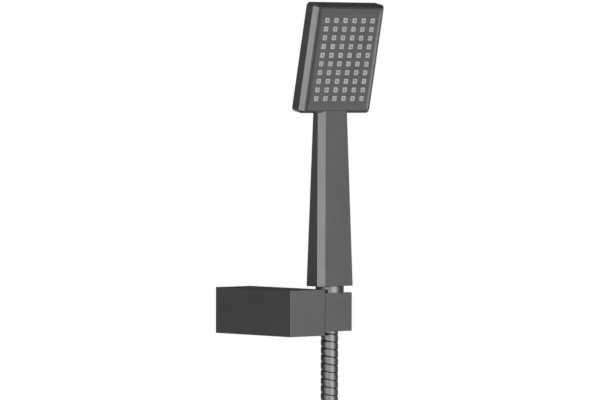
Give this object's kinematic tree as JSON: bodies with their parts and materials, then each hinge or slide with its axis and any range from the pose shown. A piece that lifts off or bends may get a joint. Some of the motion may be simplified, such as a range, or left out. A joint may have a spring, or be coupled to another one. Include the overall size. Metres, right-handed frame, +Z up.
{
  "type": "handheld shower head",
  "caption": "Square handheld shower head on a tapered eight-sided handle, standing in a wall bracket with a pivoting cradle and an interlocked metal hose.",
  "frame": {"origin": "centre of the arm's back face, on the wall", "axes": "+Y into the wall, +Z up, +X to the right of a person facing the wall"},
  "size_m": [0.178, 0.1019, 0.5711],
  "materials": {
    "gunmetal": "satin gunmetal coat",
    "face_gunmetal": "satin gunmetal coat on the face plate",
    "nut_gunmetal": "turned, satin gunmetal coat",
    "hose_steel": "interlocked steel strip, satin gunmetal coat",
    "hose_solid": "stands in for the flexible hose",
    "zinc": "as cast",
    "steel": "zinc-plated",
    "brass": "machined",
    "white_plastic": "moulded acetal",
    "black_plastic": "moulded",
    "silicone": "matt silicone",
    "black_rubber": "moulded"
  },
  "bodies": {
    "bracket": {"wall_plate": "zinc", "arm_cover": "gunmetal", "arm_grub_screw": "steel", "pivot_bush": "white_plastic", "friction_disc": "black_plastic", "friction_washer": "white_plastic"},
    "cradle": {"cradle_block": "gunmetal", "cradle_liner": "black_plastic", "pivot_bolt": "steel", "spring_washer": "steel", "lock_nut": "steel"},
    "hose_end": {"hose_stem": "brass", "hose_ferrule": "hose_steel", "hose_neck": "hose_solid"},
    "hose": {"hose_upper": "hose_solid", "hose_coil": "hose_solid", "hose_tail": "hose_solid", "hose_ties": "black_plastic", "end_ferrule": "hose_steel", "end_stem": "brass", "supply_washer": "black_rubber"},
    "handset": {"handset_body": "gunmetal", "face_plate": "face_gunmetal", "nozzle_mat": "silicone", "chamber_gasket": "black_rubber", "flow_plate": "white_plastic", "face_screws": "steel", "water_tube": "white_plastic", "tube_seals": "black_rubber", "inlet_fitting": "brass", "flow_limiter": "white_plastic", "filter_screen": "steel", "inlet_washer": "black_rubber", "cone_nut": "nut_gunmetal"},
    "supply_nut": {"supply_nut": "nut_gunmetal"}
  },
  "joints": [
    {"name": "cradle_tilt", "type": "hinge", "parent": "bracket", "child": "cradle", "pos_m": [0.0193, -0.0765, 0], "axis": [1, 0, 0], "range_deg": [-8, 8]},
    {"name": "handset_lift", "type": "slide", "parent": "cradle", "child": "hose_end", "axis": [0, 0, 1], "range_m": [0, 0.04]},
    {"name": "hose_hang", "type": "hinge", "parent": "hose_end", "child": "hose", "pos_m": [0.0361, -0.0765, -0.0576], "axis": [1, 0, 0], "range_deg": [-8, 8]},
    {"name": "handset_turn", "type": "hinge", "parent": "hose_end", "child": "handset", "pos_m": [0.0361, -0.0765, 0], "axis": [0, 0, 1], "continuous": true},
    {"name": "supply_nut_spin", "type": "hinge", "parent": "hose", "child": "supply_nut", "pos_m": [0.1051, -0.05233, -0.31], "axis": [1, 0, 0], "continuous": true}
  ],
  "couplings": [
    {"joint": "hose_hang", "follows": "cradle_tilt", "ratio": -1}
  ]
}
